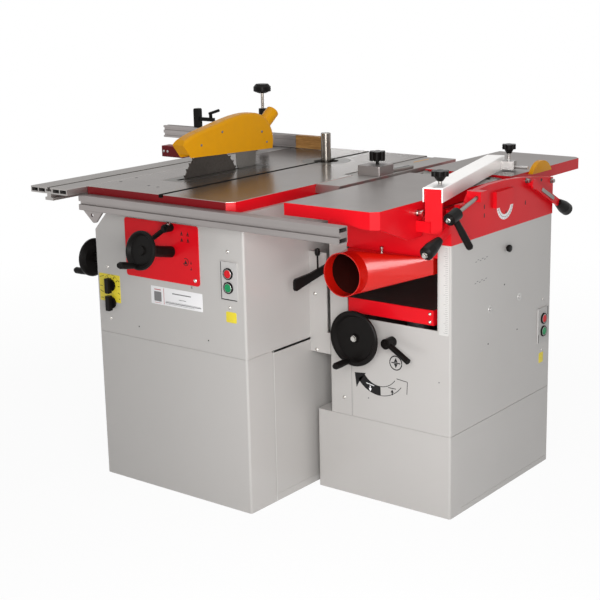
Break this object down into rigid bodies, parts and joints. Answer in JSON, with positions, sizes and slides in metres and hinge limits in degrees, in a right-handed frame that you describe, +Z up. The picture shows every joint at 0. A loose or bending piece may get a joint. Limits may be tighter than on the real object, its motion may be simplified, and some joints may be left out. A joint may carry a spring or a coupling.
{
  "type": "combination woodworking machine",
  "caption": "Combination woodworking machine: tilting table saw with sliding table, spindle moulder and planer-thicknesser on two steel cabinets.",
  "frame": {"origin": "on the floor, under the middle of the saw cabinet's plinth", "axes": "+X to the right seen from the front, +Y to the back along the saw cut, +Z up"},
  "size_m": [1.6215, 1.3358, 1.063],
  "materials": {
    "cabinet_paint": "light grey satin paint",
    "red_paint": "gloss red paint",
    "cast_table": "ground top, red rim",
    "aluminium": "natural extruded",
    "steel": "ground",
    "black_plastic": "moulded",
    "black_metal": "black satin",
    "yellow_plastic": "moulded",
    "red_plastic": "gloss",
    "green_plastic": "gloss",
    "beech": "bare",
    "belt_rubber": "matte",
    "grey_iron": "as cast",
    "switch_plastic": "moulded"
  },
  "bodies": {
    "frame": {"saw_plinth": "cabinet_paint", "saw_cabinet": "cabinet_paint", "saw_table": "cast_table", "table_inserts": "steel", "control_panel": "red_paint", "switch_plates": "switch_plastic", "front_rail": "aluminium", "slide_rail": "aluminium", "planer_plinth": "cabinet_paint", "planer_cabinet": "cabinet_paint", "planer_body": "red_paint", "dust_hood": "red_paint", "filler_rail": "aluminium", "joining_strip": "cabinet_paint", "planer_motor": "grey_iron", "lift_columns": "steel"},
    "cradle": {"saw_cradle": "grey_iron"},
    "lift": {"saw_carriage": "grey_iron", "saw_motor": "grey_iron", "saw_belt": "belt_rubber", "riving_knife": "steel"},
    "arbor": {"saw_arbor": "steel", "saw_blade": "steel"},
    "motor_shaft": {"motor_pulley": "steel"},
    "blade_guard": {"saw_guard": "yellow_plastic"},
    "rise_wheel": {"saw_handwheel": "black_plastic"},
    "tilt_wheel": {"tilt_handwheel": "black_plastic"},
    "panel_clamp": {"panel_lever": "black_plastic"},
    "selector_upper": {"upper_selector": "black_plastic"},
    "selector_lower": {"lower_selector": "black_plastic"},
    "stop_saw": {"saw_stop_button": "red_plastic"},
    "start_saw": {"saw_start_button": "green_plastic"},
    "stop_planer": {"planer_stop_button": "red_plastic"},
    "start_planer": {"planer_start_button": "green_plastic"},
    "quill": {"moulder_quill": "grey_iron"},
    "spindle": {"moulder_spindle": "steel"},
    "slider": {"sliding_table": "aluminium", "outrigger": "red_paint", "clamp_column": "black_metal"},
    "hold_down": {"clamp_screw": "black_metal"},
    "fence": {"crosscut_fence": "aluminium", "fence_end": "beech"},
    "stop": {"flip_stop": "black_plastic"},
    "planer_tables": {"outfeed_table": "cast_table", "end_cap": "yellow_plastic"},
    "infeed": {"infeed_table": "cast_table", "guard_upright": "red_paint"},
    "bridge": {"bridge_guard": "aluminium"},
    "infeed_lock": {"infeed_lock_lever": "red_paint"},
    "outfeed_lock": {"outfeed_lock_lever": "red_paint"},
    "depth": {"depth_lever": "black_plastic"},
    "cutter": {"cutterblock": "steel"},
    "roller_in": {"infeed_roller": "steel"},
    "roller_out": {"outfeed_roller": "steel"},
    "bed": {"thicknesser_table": "cast_table"},
    "bed_wheel": {"thicknesser_handwheel": "black_plastic"},
    "bed_lock": {"thicknesser_lock": "black_plastic"},
    "feed": {"feed_lever": "black_metal"},
    "carriage": {"fence_carriage": "grey_iron"},
    "carriage_clamp": {"carriage_knob": "black_plastic"}
  },
  "joints": [
    {"name": "saw_tilt", "type": "hinge", "parent": "frame", "child": "cradle", "pos_m": [-0.111, -0.06, 0.847], "axis": [0, 1, 0], "range_deg": [0, 45]},
    {"name": "saw_rise", "type": "slide", "parent": "cradle", "child": "lift", "axis": [0, 0, 1], "range_m": [-0.042, 0]},
    {"name": "blade_spin", "type": "hinge", "parent": "lift", "child": "arbor", "pos_m": [0, -0.093, 0.8], "axis": [1, 0, 0], "continuous": true},
    {"name": "motor_spin", "type": "hinge", "parent": "lift", "child": "motor_shaft", "pos_m": [0.1, -0.093, 0.667], "axis": [1, 0, 0], "continuous": true},
    {"name": "guard_pivot", "type": "hinge", "parent": "lift", "child": "blade_guard", "pos_m": [-0.111, 0.119, 0.927], "axis": [-1, 0, 0], "range_deg": [0, 25]},
    {"name": "rise_wheel_turn", "type": "hinge", "parent": "frame", "child": "rise_wheel", "pos_m": [0.025, -0.408, 0.69], "axis": [0, -0.9781, 0.2079], "range_deg": [-3780, 0]},
    {"name": "tilt_wheel_turn", "type": "hinge", "parent": "frame", "child": "tilt_wheel", "pos_m": [-0.273, -0.363, 0.626], "axis": [-1, 0, 0], "range_deg": [0, 2160]},
    {"name": "panel_clamp_turn", "type": "hinge", "parent": "frame", "child": "panel_clamp", "pos_m": [0.024, -0.405, 0.757], "axis": [0, 1, 0], "range_deg": [0, 55]},
    {"name": "selector_upper_turn", "type": "hinge", "parent": "frame", "child": "selector_upper", "pos_m": [-0.218, -0.405, 0.567], "axis": [0, -1, 0], "range_deg": [-60, 60]},
    {"name": "selector_lower_turn", "type": "hinge", "parent": "frame", "child": "selector_lower", "pos_m": [-0.218, -0.405, 0.517], "axis": [0, -1, 0], "range_deg": [-60, 60]},
    {"name": "stop_saw_press", "type": "slide", "parent": "frame", "child": "stop_saw", "axis": [0, 1, 0], "range_m": [0, 0.004], "stiffness_N_per_m": 400},
    {"name": "start_saw_press", "type": "slide", "parent": "frame", "child": "start_saw", "axis": [0, 1, 0], "range_m": [0, 0.004], "stiffness_N_per_m": 400},
    {"name": "stop_planer_press", "type": "slide", "parent": "frame", "child": "stop_planer", "axis": [-1, 0, 0], "range_m": [0, 0.004], "stiffness_N_per_m": 400},
    {"name": "start_planer_press", "type": "slide", "parent": "frame", "child": "start_planer", "axis": [-1, 0, 0], "range_m": [0, 0.004], "stiffness_N_per_m": 400},
    {"name": "quill_rise", "type": "slide", "parent": "frame", "child": "quill", "axis": [0, 0, 1], "range_m": [-0.06, 0.015]},
    {"name": "spindle_spin", "type": "hinge", "parent": "quill", "child": "spindle", "pos_m": [0.021, 0.287, 0.8], "axis": [0, 0, 1], "continuous": true},
    {"name": "table_slide", "type": "slide", "parent": "frame", "child": "slider", "axis": [0, 1, 0], "range_m": [-0.6, 0.25]},
    {"name": "hold_down_screw", "type": "slide", "parent": "slider", "child": "hold_down", "axis": [0, 0, 1], "range_m": [-0.022, 0.02]},
    {"name": "fence_swivel", "type": "hinge", "parent": "slider", "child": "fence", "pos_m": [-0.338, 0.485, 0.848], "axis": [0, 0, 1], "range_deg": [-45, 45]},
    {"name": "stop_slide", "type": "slide", "parent": "fence", "child": "stop", "axis": [1, 0, 0], "range_m": [-0.12, 0.3]},
    {"name": "tables_fold", "type": "hinge", "parent": "frame", "child": "planer_tables", "pos_m": [0.358, 0.2, 0.832], "axis": [0, -1, 0], "range_deg": [0, 80]},
    {"name": "infeed_drop", "type": "slide", "parent": "planer_tables", "child": "infeed", "axis": [0, 0, 1], "range_m": [-0.003, 0]},
    {"name": "bridge_swing", "type": "hinge", "parent": "infeed", "child": "bridge", "pos_m": [0.69589, -0.16741, 0.86], "axis": [0, 0, 1], "range_deg": [0, 15]},
    {"name": "infeed_lock_turn", "type": "hinge", "parent": "frame", "child": "infeed_lock", "pos_m": [0.738, -0.08, 0.82], "axis": [1, 0, 0], "range_deg": [0, 45]},
    {"name": "outfeed_lock_turn", "type": "hinge", "parent": "frame", "child": "outfeed_lock", "pos_m": [0.738, 0.268, 0.838], "axis": [1, 0, 0], "range_deg": [0, 60]},
    {"name": "depth_turn", "type": "hinge", "parent": "frame", "child": "depth", "pos_m": [0.755, -0.172, 0.82], "axis": [0, 0.9659, 0.2588], "range_deg": [-90, 0]},
    {"name": "cutter_spin", "type": "hinge", "parent": "frame", "child": "cutter", "pos_m": [0.535, 0.261, 0.811], "axis": [1, 0, 0], "continuous": true},
    {"name": "roller_in_spin", "type": "hinge", "parent": "frame", "child": "roller_in", "pos_m": [0.535, 0.179, 0.797], "axis": [1, 0, 0], "continuous": true},
    {"name": "roller_out_spin", "type": "hinge", "parent": "frame", "child": "roller_out", "pos_m": [0.535, 0.343, 0.797], "axis": [1, 0, 0], "continuous": true},
    {"name": "bed_rise", "type": "slide", "parent": "frame", "child": "bed", "axis": [0, 0, 1], "range_m": [-0.008, 0.085]},
    {"name": "bed_wheel_turn", "type": "hinge", "parent": "frame", "child": "bed_wheel", "pos_m": [0.464, -0.136, 0.468], "axis": [0, -1, 0], "range_deg": [-720, 7650]},
    {"name": "bed_lock_turn", "type": "hinge", "parent": "frame", "child": "bed_lock", "pos_m": [0.548, -0.136, 0.46], "axis": [0, -1, 0], "range_deg": [0, 60]},
    {"name": "feed_turn", "type": "hinge", "parent": "frame", "child": "feed", "pos_m": [0.338, -0.1, 0.643], "axis": [1, 0, 0], "range_deg": [-25, 0]},
    {"name": "carriage_slide", "type": "slide", "parent": "frame", "child": "carriage", "axis": [0, 1, 0], "range_m": [-0.18, 0.32]},
    {"name": "carriage_clamp_turn", "type": "hinge", "parent": "carriage", "child": "carriage_clamp", "pos_m": [0.296, 0.164, 0.874], "axis": [0, 0, 1], "continuous": true}
  ],
  "couplings": [
    {"joint": "motor_spin", "follows": "blade_spin", "ratio": 0.76471},
    {"joint": "rise_wheel_turn", "follows": "saw_rise", "rad_per_m": 1570.8},
    {"joint": "tilt_wheel_turn", "follows": "saw_tilt", "ratio": 48},
    {"joint": "depth_turn", "follows": "infeed_drop", "rad_per_m": 523.6},
    {"joint": "bed_wheel_turn", "follows": "bed_rise", "rad_per_m": 1570.8},
    {"joint": "roller_in_spin", "follows": "cutter_spin", "ratio": -0.05},
    {"joint": "roller_out_spin", "follows": "cutter_spin", "ratio": -0.05}
  ]
}
